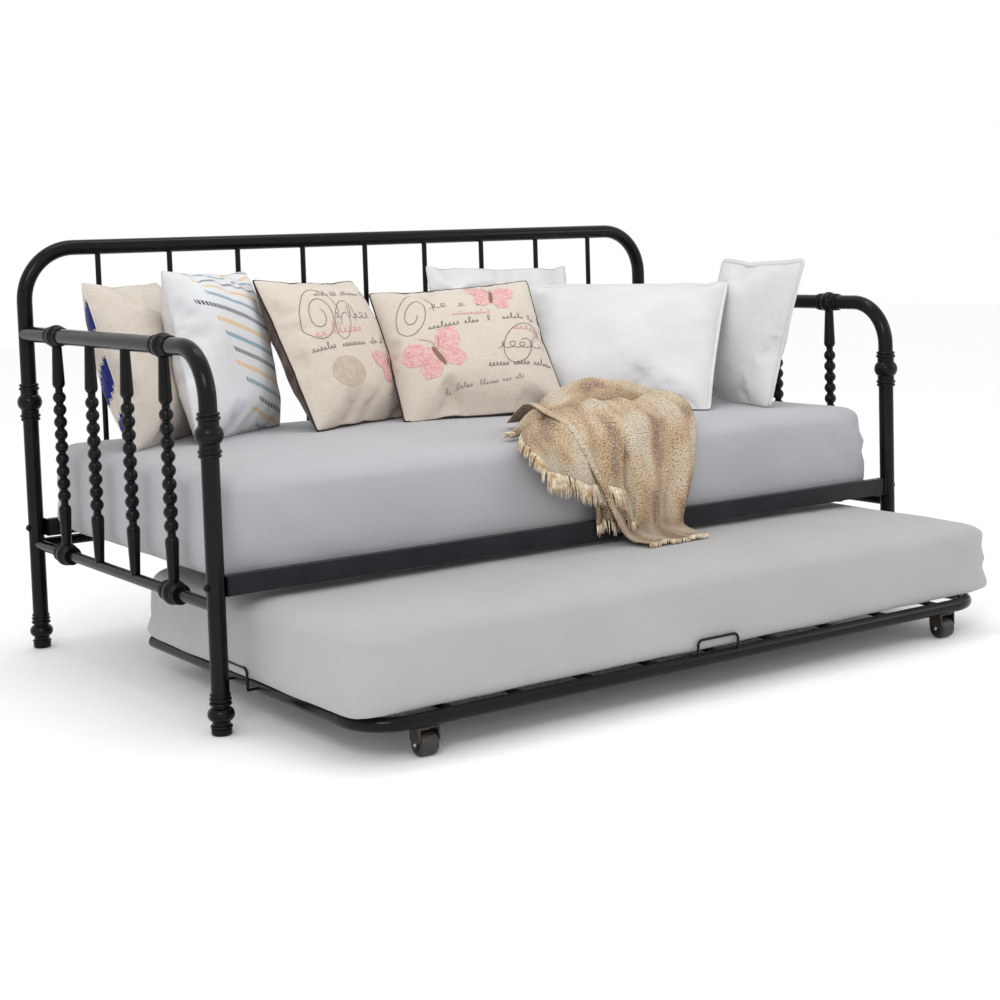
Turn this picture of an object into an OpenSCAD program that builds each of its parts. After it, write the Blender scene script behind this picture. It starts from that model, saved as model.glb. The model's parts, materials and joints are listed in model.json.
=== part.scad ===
// Metal daybed with a pull-out trundle, dressed with two mattresses, pillows and a throw.
// X runs along the length, +Y towards the back, +Z up. Millimetres.

/* [Daybed frame] */
// Distance between the end posts, centre to centre, along the length
post_pitch_x = 1950; // [1900:10:2050]
// Distance between the front and back posts, centre to centre
post_pitch_y = 1016; // [990:2:1040]
// Outer diameter of the posts, the arms and the back bow
tube_d = 38; // [34:1:42]
// Height of the centre of the back bow
bow_z = 994; // [960:2:1040]
// Height of the centre of the arms
arm_z = 785; // [760:1:810]
// Height of the centre of the lower rails
low_rail_z = 262; // [258:1:266]
// Outer diameter of the lower rails
low_rail_d = 25; // [22:1:28]
// Bend radius of the back bow's corners
bow_bend = 130; // [110:5:150]
// Bend radius of the arms' front corners
arm_bend = 110; // [90:5:130]
// Height of each turned foot
foot_h = 84; // [76:1:92]

/* [Spindles] */
// Number of plain spindles in the back
back_spindles = 9; // [9]
// Diameter of the plain spindles
back_spindle_d = 14; // [10:1:18]
// Distance of the outer bobbin spindles from the middle of an arm
bobbin_outer_y = 305; // [290:5:315]
// Distance of the inner bobbin spindles from the middle of an arm
bobbin_inner_y = 102; // [90:2:120]
// Number of beads on a bobbin spindle
beads = 9; // [9]
// Distance from bead to bead
bead_pitch = 29.5; // [28:0.5:30]
// Diameter of a bead
bead_d = 31; // [29:0.5:33]

/* [Deck] */
// Height of the front rail's lower edge
rail_bottom_z = 282; // [280:1:288]
// Height of the front rail's section
rail_h = 42; // [38:1:46]
// Depth of the front rail's section
rail_t = 20; // [16:1:24]
// Number of slats under the upper mattress
deck_slat_count = 12; // [8:1:14]

/* [Trundle] */
// Outer diameter of the trundle's tube
trundle_d = 30; // [26:1:32]
// Overall length of the trundle frame
trundle_len = 1760; // [1700:10:1780]
// Overall depth of the trundle frame
trundle_depth = 995; // [960:5:1000]
// How far the trundle is pulled out from its stowed place
pull_out = 420; // [400:5:440]
// Number of slats in the trundle
trundle_slat_count = 9; // [7:1:9]
// Radius of the caster wheels
wheel_r = 24; // [23:0.5:25]
// Width of the caster wheels
wheel_w = 40; // [34:1:42]

/* [Bedding] */
// Thickness of the upper mattress
upper_mattress_h = 216; // [200:2:220]
// Thickness of the trundle mattress
lower_mattress_h = 174; // [160:2:176]
// Side of the square cushions
cushion = 430; // [400:5:440]

/* [Hidden] */
$fn = 48;

black = [0.05, 0.05, 0.055];
charcoal = [0.17, 0.17, 0.19];
tube_r = tube_d / 2;
low_rail_r = low_rail_d / 2;
trundle_r = trundle_d / 2;
side_x = post_pitch_x / 2;
post_y = post_pitch_y / 2;
fit_gap = 0.05;
// How far a cutter runs past what it cuts, and how much wider than a bolt its hole is
cut_over = 2;
bolt_gap = 0.2;
// Half the length of the cutter that copes one tube to another
cope_reach = 60;

// Turned castings: each end of a collar or knuckle has a small ring, then a larger one further in
end_bead = 3.5;
inner_bead = 4.5;
ring_step = 9;
axis_cut = 50;
collar_ball_r = 30;
collar_h = 92;
front_collar_z = 612;
back_collar_z = 616;
knuckle_ball_r = 27.5;
knuckle_len = 74;
foot_ball_r = 28;

// Trundle
stowed_front_y = -495;
trundle_front_y = stowed_front_y - pull_out;
trundle_side_x = trundle_len / 2 - trundle_r;
trundle_rear_y = trundle_front_y + trundle_depth - trundle_d;
trundle_z = 75;
trundle_bend = 100;
trundle_top_z = trundle_z + trundle_r;
caster_x = 735;
caster_ys = [trundle_front_y + 15, trundle_rear_y - 15];
caster_plate_t = 3;
caster_inner_w = wheel_w + 2;
caster_depth = 36;
axle_r = 3;
axle_fit = 0.02;
axle_head_r = 5.2;
axle_head_h = 2;
hoop_rod_r = 3;
hoop_w = 120;
hoop_rise = 33;

// Origin: middle of the whole bed's box, on the floor
front_reach = -trundle_front_y + trundle_r;
back_reach = post_y + collar_ball_r;
bed_y = (front_reach - back_reach) / 2;

// Deck
slat_w = 28;
slat_t = 6;
ledge_t = 3;
ledge_reach = 30;
ledge_inset = 10;
ledge_z = 293;
end_slat_inset = 60;
slat_end_gap = 2;
deck_top_z = ledge_z + ledge_t + slat_t;
deck_rail_y = post_y - 20;
rail_half_len = side_x - tube_r - 4;
deck_slat_pitch = 2 * (rail_half_len - end_slat_inset) / (deck_slat_count - 1);
bolt_r = 4;
bolt_hole_r = bolt_r + bolt_gap;
washer_r = 9;
washer_t = 1.6;
nut_r = 6.8;
nut_h = 6.2;
rail_bolt_z = rail_bottom_z + rail_h / 2;

// Mattresses
mattress_round = 50;
upper_size = [1876, 944, upper_mattress_h];
lower_size = [1800, 945, lower_mattress_h];
upper_mattress_y = -3;
upper_mattress_z = deck_top_z + 0.5;
lower_mattress_y = trundle_front_y + 15 + lower_size[1] / 2;
lower_mattress_z = trundle_top_z + 1;

module place_bed() {
    translate([0, bed_y, 0]) children();
}

// ---- basic shapes ----

module rod_x(x0, x1, y, z, r) {
    translate([x0, y, z]) rotate([0, 90, 0]) cylinder(r = r, h = x1 - x0);
}

module rod_y(x, y0, y1, z, r) {
    translate([x, y0, z]) rotate([-90, 0, 0]) cylinder(r = r, h = y1 - y0);
}

module rod_z(x, y, z0, z1, r) {
    translate([x, y, z0]) cylinder(r = r, h = z1 - z0);
}

// Half section of a round ring: outermost radius r_out, height 2 * bead, centred at height z
module ring_section(r_out, bead, z) {
    translate([r_out - bead, z]) circle(r = bead);
}

// Half section of a plain drum of radius r between two heights
module drum_section(r, z0, z1) {
    translate([0, z0]) square([r, z1 - z0]);
}

// Quarter bend in the XZ plane, from the +X side up to the +Z side
module bend_xz(radius, r) {
    rotate([90, 0, 0]) rotate_extrude(angle = 90) translate([radius, 0]) circle(r = r);
}

module screw_dome(r, h) {
    intersection() {
        translate([0, 0, h - r]) sphere(r = r);
        cylinder(r = r, h = h);
    }
}

// ---- back ----

module bow_holes() {
    for (side = [-1, 1]) {
        x = side * side_x;
        rod_x(x - tube_r - cut_over, x + tube_r + cut_over, post_y, rail_bolt_z, bolt_hole_r);
        for (z = [arm_z, low_rail_z])
            rod_y(x, post_y - tube_r - cut_over, post_y + tube_r + cut_over, z, bolt_hole_r);
    }
}

module back_bow() {
    straight_x = side_x - bow_bend;
    straight_z = bow_z - bow_bend;
    color(black) place_bed() difference() {
        union() {
            rod_x(-straight_x, straight_x, post_y, bow_z, tube_r);
            for (side = [0, 1]) mirror([side, 0, 0]) {
                rod_z(side_x, post_y, foot_h, straight_z, tube_r);
                translate([straight_x, post_y, straight_z]) bend_xz(bow_bend, tube_r);
            }
        }
        bow_holes();
    }
}

module back_lower_rail() {
    color(black) place_bed() difference() {
        rod_x(-side_x, side_x, post_y, low_rail_z, low_rail_r);
        for (side = [-1, 1])
            rod_z(side * side_x, post_y, low_rail_z - cope_reach, low_rail_z + cope_reach, tube_r);
    }
}

function back_spindle_x(i) = -side_x + post_pitch_x / (back_spindles + 1) * i;

module back_spindle(i) {
    x = back_spindle_x(i);
    color(black) place_bed() difference() {
        rod_z(x, post_y, low_rail_z, bow_z, back_spindle_d / 2);
        rod_x(x - cope_reach, x + cope_reach, post_y, bow_z, tube_r);
        rod_x(x - cope_reach, x + cope_reach, post_y, low_rail_z, low_rail_r);
    }
}

// ---- arms ----

module arm_holes() {
    rod_x(side_x - tube_r - cut_over, side_x + tube_r + cut_over, -post_y, rail_bolt_z, bolt_hole_r);
    rod_y(side_x, post_y - cope_reach, post_y, arm_z, bolt_hole_r);
}

module arm() {
    straight_y = -post_y + arm_bend;
    straight_z = arm_z - arm_bend;
    color(black) place_bed() difference() {
        union() {
            rod_y(side_x, straight_y, post_y, arm_z, tube_r);
            translate([side_x, straight_y, straight_z]) rotate([0, 0, -90]) bend_xz(arm_bend, tube_r);
            rod_z(side_x, -post_y, foot_h, straight_z, tube_r);
        }
        rod_z(side_x, post_y, arm_z - cope_reach, arm_z + cope_reach, tube_r);
        arm_holes();
    }
}

module left_arm() {
    mirror([1, 0, 0]) arm();
}

module right_arm() {
    arm();
}

module lower_rail(side) {
    x = side * side_x;
    color(black) place_bed() difference() {
        rod_y(x, -post_y, post_y, low_rail_z, low_rail_r);
        for (y = [-post_y, post_y]) rod_z(x, y, low_rail_z - cope_reach, low_rail_z + cope_reach, tube_r);
        rod_y(x, post_y - cope_reach, post_y, low_rail_z, bolt_hole_r);
    }
}

// ---- turned castings ----

// Half section of a flattened ball between pairs of rings, with a bore, centred on the origin
module band_section(ball_r, ball_h, ring_r, length, bore_r) {
    ring_z = length / 2 - end_bead;
    difference() {
        union() {
            ring_section(ball_r, ball_h / 2, 0);
            drum_section(ring_r - end_bead, -length / 2, length / 2);
            for (up = [-1, 1]) {
                ring_section(ring_r - 1, end_bead, up * ring_z);
                ring_section(ring_r, inner_bead, up * (ring_z - ring_step));
            }
        }
        translate([-axis_cut, -length]) square([axis_cut + bore_r, 2 * length]);
    }
}

module collar(x, y, z) {
    ball_h = 48;
    ring_r = 25;
    color(black) place_bed() translate([x, y, z]) rotate_extrude()
        band_section(collar_ball_r, ball_h, ring_r, collar_h, tube_r + fit_gap);
}

module knuckle(y, z, bore_r) {
    ball_h = 40;
    ring_r = 23.5;
    translate([side_x, y, z]) rotate([90, 0, 0]) rotate_extrude()
        band_section(knuckle_ball_r, ball_h, ring_r, knuckle_len, bore_r);
}

module knuckles() {
    color(black) place_bed() for (y = [-bobbin_outer_y, bobbin_outer_y]) {
        knuckle(y, arm_z, tube_r + fit_gap);
        knuckle(y, low_rail_z, low_rail_r + fit_gap);
    }
}

module left_knuckles() {
    mirror([1, 0, 0]) knuckles();
}

module right_knuckles() {
    knuckles();
}

// Rings of a foot from the floor up: outermost radius, half height, height of its centre
foot_rings = [[23, 3, 17.5], [foot_ball_r, 15.5, 42.5], [23.5, 3.4, 64.5], [23, 3, 73.5]];
foot_base_h = 13;
foot_core_r = 18.5;

module foot(x, y) {
    cap_r = 21.5;
    edge = 4;
    color(black) place_bed() translate([x, y, 0]) rotate_extrude() difference() {
        union() {
            drum_section(cap_r - edge, 0, foot_h);
            drum_section(cap_r, edge, foot_base_h);
            ring_section(cap_r, edge, edge);
            drum_section(foot_core_r, foot_base_h, foot_h);
            for (ring = foot_rings) ring_section(ring[0], ring[1], ring[2]);
            drum_section(cap_r, foot_h - edge, foot_h);
        }
        translate([-axis_cut, 0]) square([axis_cut, foot_h]);
    }
}

// ---- bobbin spindles ----

bead_r = bead_d / 2;
bead_span = (beads - 1) * bead_pitch;
bead_mid_z = 521.5;
bead_low_z = bead_mid_z - bead_span / 2;
bead_high_z = bead_mid_z + bead_span / 2;
vase_r = 15;
vase_end_r = 10.5;
vase_gap = 34;
neck_r = 9;

module bobbin_section() {
    high_z = bead_high_z + vase_gap;
    low_z = bead_low_z - vase_gap;
    difference() {
        union() {
            drum_section(neck_r, low_z, high_z);
            for (i = [0 : beads - 1]) translate([0, bead_low_z + i * bead_pitch]) circle(r = bead_r);
            for (z = [low_z, high_z]) translate([0, z]) circle(r = vase_r);
            polygon([[0, high_z], [vase_r, high_z], [vase_end_r, arm_z], [0, arm_z]]);
            polygon([[0, low_rail_z], [vase_end_r, low_rail_z], [vase_r, low_z], [0, low_z]]);
        }
        translate([-axis_cut, 0]) square([axis_cut, bow_z]);
    }
}

function bobbin_y(i) = [-bobbin_outer_y, -bobbin_inner_y, bobbin_inner_y, bobbin_outer_y][i - 1];

module bobbin(i) {
    y = bobbin_y(i);
    color(black) place_bed() difference() {
        translate([side_x, y, 0]) rotate([0, 0, 30]) rotate_extrude() bobbin_section();
        rod_y(side_x, y - cope_reach, y + cope_reach, arm_z, tube_r);
        rod_y(side_x, y - cope_reach, y + cope_reach, low_rail_z, low_rail_r);
        if (abs(y) == bobbin_outer_y) {
            translate([side_x, y, arm_z]) sphere(r = knuckle_ball_r);
            translate([side_x, y, low_rail_z]) sphere(r = knuckle_ball_r);
        }
    }
}

module left_bobbin(i) {
    mirror([1, 0, 0]) bobbin(i);
}

module right_bobbin(i) {
    bobbin(i);
}

// ---- deck ----

// Box rail with an inner ledge; inward is +1 when the ledge points to +Y
module deck_rail(y, inward) {
    translate([-rail_half_len, y - rail_t / 2, rail_bottom_z])
        cube([2 * rail_half_len, rail_t, rail_h]);
    ledge_y = inward > 0 ? y + rail_t / 2 : y - rail_t / 2 - ledge_reach;
    translate([ledge_inset - rail_half_len, ledge_y, ledge_z])
        cube([2 * (rail_half_len - ledge_inset), ledge_reach, ledge_t]);
}

function deck_slat_x(i) = -rail_half_len + end_slat_inset + i * deck_slat_pitch;
slat_front_y = -post_y + rail_t / 2 + slat_end_gap;
slat_back_y = deck_rail_y - rail_t / 2 - slat_end_gap;
screw_inset = 15;
screw_ys = [slat_front_y + screw_inset, slat_back_y - screw_inset];
screw_r = 2.5;
screw_head_r = 4.5;
screw_head_h = 4;

module screw_holes() {
    for (i = [0 : deck_slat_count - 1], y = screw_ys)
        rod_z(deck_slat_x(i), y, ledge_z - cut_over, deck_top_z + cut_over, screw_r + fit_gap);
}

module front_rail() {
    color(charcoal) place_bed() difference() {
        deck_rail(-post_y, 1);
        screw_holes();
    }
}

module back_deck_rail() {
    color(charcoal) place_bed() difference() {
        deck_rail(deck_rail_y, -1);
        screw_holes();
    }
}

module deck_slats() {
    color(black) place_bed() difference() {
        for (i = [0 : deck_slat_count - 1])
            translate([deck_slat_x(i) - slat_w / 2, slat_front_y, ledge_z + ledge_t])
                cube([slat_w, slat_back_y - slat_front_y, slat_t]);
        screw_holes();
    }
}

module slat_screws() {
    color("silver") place_bed() for (i = [0 : deck_slat_count - 1], y = screw_ys) {
        rod_z(deck_slat_x(i), y, ledge_z - screw_head_h, deck_top_z - 2 * fit_gap, screw_r);
        rod_z(deck_slat_x(i), y, ledge_z - screw_head_h, ledge_z - fit_gap, screw_head_r);
    }
}

// Plates that carry the rails' ends, and the bolts through the posts
bracket_x = rail_half_len + fit_gap;
bracket_t = 3.9;
front_bracket_w = 28;
// How far the back brackets reach past the middle of the back posts
back_bracket_reach = 12;

module rail_brackets() {
    color(black) place_bed() for (side = [0, 1]) mirror([side, 0, 0]) difference() {
        union() {
            translate([bracket_x, -post_y - front_bracket_w / 2, rail_bottom_z])
                cube([bracket_t, front_bracket_w, rail_h]);
            translate([bracket_x, deck_rail_y - rail_t / 2, rail_bottom_z])
                cube([bracket_t, post_y + back_bracket_reach - deck_rail_y + rail_t / 2, rail_h]);
        }
        for (y = [-post_y, post_y]) {
            rod_z(side_x, y, rail_bolt_z - cope_reach, rail_bolt_z + cope_reach, tube_r);
            rod_x(bracket_x - cut_over, side_x, y, rail_bolt_z, bolt_hole_r);
        }
    }
}

// A bolt along +Z whose shank is length long, with a washer and a domed nut past its end
module bolt(length) {
    cylinder(r = bolt_r, h = length);
    translate([0, 0, length]) cylinder(r = washer_r, h = washer_t);
    translate([0, 0, length + washer_t]) screw_dome(nut_r, nut_h);
}

module frame_bolts() {
    // How deep a bolt runs into an arm or a lower rail
    into_rail = 50;
    start_x = bracket_x + 1;
    color(black) place_bed() for (side = [0, 1]) mirror([side, 0, 0]) {
        for (y = [-post_y, post_y])
            translate([start_x, y, rail_bolt_z]) rotate([0, 90, 0]) bolt(side_x + tube_r - start_x);
        for (z = [arm_z, low_rail_z])
            translate([side_x, post_y - into_rail, z]) rotate([-90, 0, 0]) bolt(into_rail + tube_r);
    }
}

// ---- soft goods ----

// Block with rounded upright edges, standing on its lowest face
module soft_block(size, round_r) {
    inner = [size[0] - 2 * round_r, size[1] - 2 * round_r];
    linear_extrude(size[2]) {
        square([size[0], inner[1]], center = true);
        square([inner[0], size[1]], center = true);
        for (sx = [-1, 1], sy = [-1, 1])
            translate([sx * inner[0] / 2, sy * inner[1] / 2]) circle(r = round_r);
    }
}

module upper_mattress() {
    color([0.72, 0.715, 0.75]) place_bed() translate([0, upper_mattress_y, upper_mattress_z])
        soft_block(upper_size, mattress_round);
}

module trundle_mattress() {
    color([0.69, 0.69, 0.69]) place_bed() translate([0, lower_mattress_y, lower_mattress_z])
        soft_block(lower_size, mattress_round);
}

// A stuffed case lying in the XZ plane, thickest in the middle, centred on the origin
module pillow(w, h, thick) {
    corner = 14;
    corner_t = 16;
    crown_r = min(w, h) * 0.22;
    rotate([90, 0, 0]) hull() {
        for (sx = [-1, 1], sz = [-1, 1])
            translate([sx * (w / 2 - corner), sz * (h / 2 - corner)])
                cylinder(r = corner, h = corner_t, center = true, $fn = 16);
        cylinder(r = crown_r, h = thick, center = true, $fn = 32);
    }
}

// Turned about Z by turn, leant back by lean and rolled in its own plane by roll
module leaning_pillow(pos, turn, lean, roll, w, h, thick) {
    place_bed() translate(pos) rotate([0, 0, turn]) rotate([-lean, 0, 0]) rotate([0, -roll, 0])
        pillow(w, h, thick);
}

module cushion_navy() {
    color([0.87, 0.83, 0.76])
        leaning_pillow([-750, 297, 722], 42, 17, -2, cushion - 10, cushion - 30, 130);
}

module cushion_striped() {
    color([0.95, 0.96, 0.97])
        leaning_pillow([-558, 272, 732], 36, 12, -2, cushion, cushion - 20, 130);
}

module cushion_script() {
    color([0.87, 0.82, 0.76])
        leaning_pillow([-231, 278, 717], 25, 28, -3, cushion, cushion - 20, 130);
}

module cushion_butterfly() {
    color([0.88, 0.84, 0.78])
        leaning_pillow([124, 189, 702], -17, 37, 3, cushion + 30, cushion - 20, 130);
}

module pillow_back() {
    color("white")
        leaning_pillow([390, 385, 698], 13, 9, -2, 600, 330, 90);
}

module pillow_large() {
    color("white")
        leaning_pillow([507, 57, 686], -51, 43, -1, 600, 420, 130);
}

module pillow_right() {
    color("white")
        leaning_pillow([819, -133, 716], -100, 17, 0, 420, 400, 100);
}

// Folded cloth: a bunch on the mattress and a fall over the front rail. Each fold that the
// cloth is stretched between has its two ends in X, its Y, its Z and its radius.
throw_tail = [-40, 340, -190, 545, 25];
throw_bunch = [-150, 370, -400, 538, 18];
throw_slope = [-150, 370, -400, 534, 14];
throw_edge = [-180, 310, -498, 531.5, 12];
throw_hem = [0, 220, -546, 290, 12];

module throw_fold(fold) {
    for (x = [fold[0], fold[1]]) translate([x, fold[2], fold[3]]) sphere(r = fold[4], $fn = 20);
}

module throw() {
    color([0.80, 0.70, 0.55]) place_bed()
        for (pair = [[throw_tail, throw_bunch], [throw_slope, throw_edge], [throw_edge, throw_hem]])
            hull() {
                throw_fold(pair[0]);
                throw_fold(pair[1]);
            }
}

// ---- trundle ----

module trundle_frame() {
    bend_x = trundle_side_x - trundle_bend;
    bend_y = trundle_front_y + trundle_bend;
    color(black) place_bed() {
        rod_x(-bend_x, bend_x, trundle_front_y, trundle_z, trundle_r);
        for (side = [0, 1]) mirror([side, 0, 0]) {
            translate([bend_x, bend_y, trundle_z]) rotate([0, 0, -90])
                rotate_extrude(angle = 90) translate([trundle_bend, 0]) circle(r = trundle_r);
            rod_y(trundle_side_x, bend_y, trundle_rear_y + trundle_r, trundle_z, trundle_r);
        }
    }
}

module trundle_rear_tube() {
    color(black) place_bed() difference() {
        rod_x(-trundle_side_x, trundle_side_x, trundle_rear_y, trundle_z, trundle_r);
        for (side = [-1, 1])
            rod_y(side * trundle_side_x, trundle_rear_y - cope_reach, trundle_rear_y + cope_reach,
                trundle_z, trundle_r);
    }
}

trundle_slat_w = 30;
trundle_slat_t = 4;
trundle_slat_pitch = 2 * trundle_side_x / (trundle_slat_count + 1);
function trundle_slat_x(i) = -trundle_side_x + i * trundle_slat_pitch;

module trundle_slats() {
    slat_z = trundle_top_z - trundle_slat_t - 1;
    color(black) place_bed() difference() {
        for (i = [1 : trundle_slat_count])
            translate([trundle_slat_x(i) - trundle_slat_w / 2, trundle_front_y, slat_z])
                cube([trundle_slat_w, trundle_rear_y - trundle_front_y, trundle_slat_t]);
        for (y = [trundle_front_y, trundle_rear_y])
            rod_x(-trundle_side_x, trundle_side_x, y, trundle_z, trundle_r);
    }
}

// Wire hoop standing on a tube along X, centred on the origin, foot ends at half the tube's height
module hoop() {
    bend = 12;
    half = hoop_w / 2 - hoop_rod_r;
    top = trundle_r + hoop_rise - hoop_rod_r;
    rod_x(-half + bend, half - bend, 0, top, hoop_rod_r);
    for (side = [0, 1]) mirror([side, 0, 0]) {
        rod_z(half, 0, 0, top - bend, hoop_rod_r);
        translate([half - bend, 0, top - bend]) bend_xz(bend, hoop_rod_r);
    }
}

// Wire hoops that keep the mattress from sliding off: one in front, and one at each end, whose
// feet step out from the tube to pass the mattress
module mattress_hoops() {
    middle_y = (trundle_front_y + trundle_rear_y) / 2;
    front_out = 8;
    side_out = lower_size[0] / 2 + hoop_rod_r + 1.5;
    leg = hoop_w / 2 - hoop_rod_r;
    color(black) place_bed() difference() {
        union() {
            translate([0, trundle_front_y - front_out, trundle_z]) hoop();
            for (side = [0, 1]) mirror([side, 0, 0]) {
                translate([side_out, middle_y, trundle_z]) rotate([0, 0, 90]) hoop();
                for (y = [middle_y - leg, middle_y + leg])
                    rod_x(trundle_side_x, side_out, y, trundle_z, hoop_rod_r);
            }
        }
        rod_x(-hoop_w, hoop_w, trundle_front_y, trundle_z, trundle_r);
        for (side = [-1, 1])
            rod_y(side * trundle_side_x, middle_y - hoop_w, middle_y + hoop_w, trundle_z, trundle_r);
    }
}

module caster_bracket(x, y) {
    top_z = trundle_z - trundle_r;
    half = caster_inner_w / 2;
    lug_r = 9;
    difference() {
        union() {
            translate([x - half - caster_plate_t, y - caster_depth / 2, top_z - caster_plate_t])
                cube([2 * (half + caster_plate_t), caster_depth, caster_plate_t]);
            for (side = [-1, 1])
                translate([x + side * (half + caster_plate_t / 2), y, 0]) {
                    translate([0, 0, (top_z + wheel_r) / 2])
                        cube([caster_plate_t, caster_depth, top_z - wheel_r], center = true);
                    rotate([0, 90, 0]) translate([-wheel_r, 0, 0])
                        cylinder(r = lug_r, h = caster_plate_t, center = true);
                }
        }
        for (side = [-1, 1])
            for (corner = [-1, 1])
                translate([x, y + corner * caster_depth / 2, wheel_r - 2]) rotate([0, 90, 0])
                    cylinder(r = lug_r, h = 2 * (half + caster_plate_t + cut_over), center = true);
        rod_x(x - caster_inner_w, x + caster_inner_w, y, wheel_r, axle_r + axle_fit);
    }
}

module caster_brackets() {
    color([0.25, 0.22, 0.2]) place_bed() difference() {
        for (x = [-caster_x, caster_x], y = caster_ys) caster_bracket(x, y);
        for (y = [trundle_front_y, trundle_rear_y])
            rod_x(-trundle_side_x, trundle_side_x, y, trundle_z, trundle_r);
    }
}

module caster_axles() {
    half = caster_inner_w / 2 + caster_plate_t;
    color("silver") place_bed() for (x = [-caster_x, caster_x], y = caster_ys) {
        rod_x(x - half, x + half, y, wheel_r, axle_r);
        for (side = [0, 1]) translate([x, y, wheel_r]) mirror([side, 0, 0])
            translate([half, 0, 0]) rotate([0, 90, 0]) screw_dome(axle_head_r, axle_head_h);
    }
}

module wheel(x, y) {
    shoulder = 6;
    groove_r = 3;
    half = wheel_w / 2;
    color([0.08, 0.08, 0.08]) place_bed() translate([x, y, wheel_r]) rotate([0, 90, 0])
        rotate_extrude() difference() {
            union() {
                drum_section(wheel_r - shoulder, -half, half);
                drum_section(wheel_r, shoulder - half, half - shoulder);
                for (end = [-1, 1]) ring_section(wheel_r, shoulder, end * (half - shoulder));
            }
            translate([-axis_cut, -wheel_w]) square([axis_cut + axle_r + fit_gap, 2 * wheel_w]);
            for (end = [-1, 1]) translate([wheel_r / 2, end * half]) circle(r = groove_r);
        }
}

back_bow();
back_lower_rail();
back_spindle(1);  // back_spindle_1
back_spindle(2);  // back_spindle_2
back_spindle(3);  // back_spindle_3
back_spindle(4);  // back_spindle_4
back_spindle(5);  // back_spindle_5
back_spindle(6);  // back_spindle_6
back_spindle(7);  // back_spindle_7
back_spindle(8);  // back_spindle_8
back_spindle(9);  // back_spindle_9
left_arm();
right_arm();
lower_rail(-1);  // left_lower_rail
lower_rail(1);  // right_lower_rail
collar(-side_x, post_y, back_collar_z);  // collar_back_left
collar(side_x, post_y, back_collar_z);  // collar_back_right
collar(-side_x, -post_y, front_collar_z);  // collar_front_left
collar(side_x, -post_y, front_collar_z);  // collar_front_right
foot(-side_x, post_y);  // foot_back_left
foot(side_x, post_y);  // foot_back_right
foot(-side_x, -post_y);  // foot_front_left
foot(side_x, -post_y);  // foot_front_right
left_bobbin(1);  // left_bobbin_1
left_bobbin(2);  // left_bobbin_2
left_bobbin(3);  // left_bobbin_3
left_bobbin(4);  // left_bobbin_4
right_bobbin(1);  // right_bobbin_1
right_bobbin(2);  // right_bobbin_2
right_bobbin(3);  // right_bobbin_3
right_bobbin(4);  // right_bobbin_4
left_knuckles();
right_knuckles();
front_rail();
back_deck_rail();
deck_slats();
slat_screws();
rail_brackets();
frame_bolts();
upper_mattress();
cushion_navy();
cushion_striped();
cushion_script();
cushion_butterfly();
pillow_back();
pillow_large();
pillow_right();
throw();
trundle_frame();
trundle_rear_tube();
trundle_slats();
mattress_hoops();
trundle_mattress();
caster_brackets();
caster_axles();
wheel(-caster_x, caster_ys[0]);  // wheel_front_left
wheel(caster_x, caster_ys[0]);  // wheel_front_right
wheel(-caster_x, caster_ys[1]);  // wheel_back_left
wheel(caster_x, caster_ys[1]);  // wheel_back_right
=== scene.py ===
import json
import math
import random

import bpy
import bmesh
import numpy as np
from mathutils import Matrix, Vector, noise
from mathutils.bvhtree import BVHTree


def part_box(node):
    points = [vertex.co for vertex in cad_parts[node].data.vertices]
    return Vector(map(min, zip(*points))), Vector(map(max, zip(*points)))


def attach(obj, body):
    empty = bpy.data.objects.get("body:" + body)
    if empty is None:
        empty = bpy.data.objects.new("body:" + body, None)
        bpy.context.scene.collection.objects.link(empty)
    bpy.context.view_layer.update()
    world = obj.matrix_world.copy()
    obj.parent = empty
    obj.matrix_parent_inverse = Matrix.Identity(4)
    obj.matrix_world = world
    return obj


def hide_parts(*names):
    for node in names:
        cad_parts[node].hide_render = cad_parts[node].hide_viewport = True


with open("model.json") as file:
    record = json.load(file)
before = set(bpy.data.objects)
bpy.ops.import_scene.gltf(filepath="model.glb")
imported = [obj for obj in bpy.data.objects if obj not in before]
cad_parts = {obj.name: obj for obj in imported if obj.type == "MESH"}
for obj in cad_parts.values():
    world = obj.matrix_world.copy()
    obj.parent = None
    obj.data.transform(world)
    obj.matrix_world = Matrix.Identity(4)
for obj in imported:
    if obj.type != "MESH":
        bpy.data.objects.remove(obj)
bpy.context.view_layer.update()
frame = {"nodes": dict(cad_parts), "record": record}
nodes = frame["nodes"]
scene = bpy.context.scene


# ---------------------------------------------------------------- small helpers

def mid(node):
    low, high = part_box(node)
    return (low + high) / 2


POST_REACH = 0.508    # from the middle of the daybed forward to the line of its front posts
RAIL_INSET = 0.010    # how far the middle of the front rail stands behind that line
BED_Y = mid("front_rail").y + POST_REACH - RAIL_INSET    # the middle of the daybed, front to back
MATTRESS_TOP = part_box("upper_mattress")[1].z


def new_object(name, data):
    obj = bpy.data.objects.new(name, data)
    scene.collection.objects.link(obj)
    return obj


def mesh_from(name, verts, faces, smooth=True):
    mesh = bpy.data.meshes.new(name)
    mesh.from_pydata([tuple(v) for v in verts], [], faces)
    mesh.update()
    if smooth:
        mesh.polygons.foreach_set("use_smooth", [True] * len(mesh.polygons))
    return new_object(name, mesh)


def coords(obj):
    out = np.zeros(len(obj.data.vertices) * 3)
    obj.data.vertices.foreach_get("co", out)
    return out.reshape(-1, 3)


def set_coords(obj, points):
    obj.data.vertices.foreach_set("co", np.ascontiguousarray(points, dtype=float).ravel())
    obj.data.update()


def apply_modifiers(obj):
    """Makes what the modifiers show the object's own mesh."""
    depsgraph = bpy.context.evaluated_depsgraph_get()
    done = bpy.data.meshes.new_from_object(obj.evaluated_get(depsgraph), depsgraph=depsgraph)
    obj.modifiers.clear()
    obj.data = done


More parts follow.
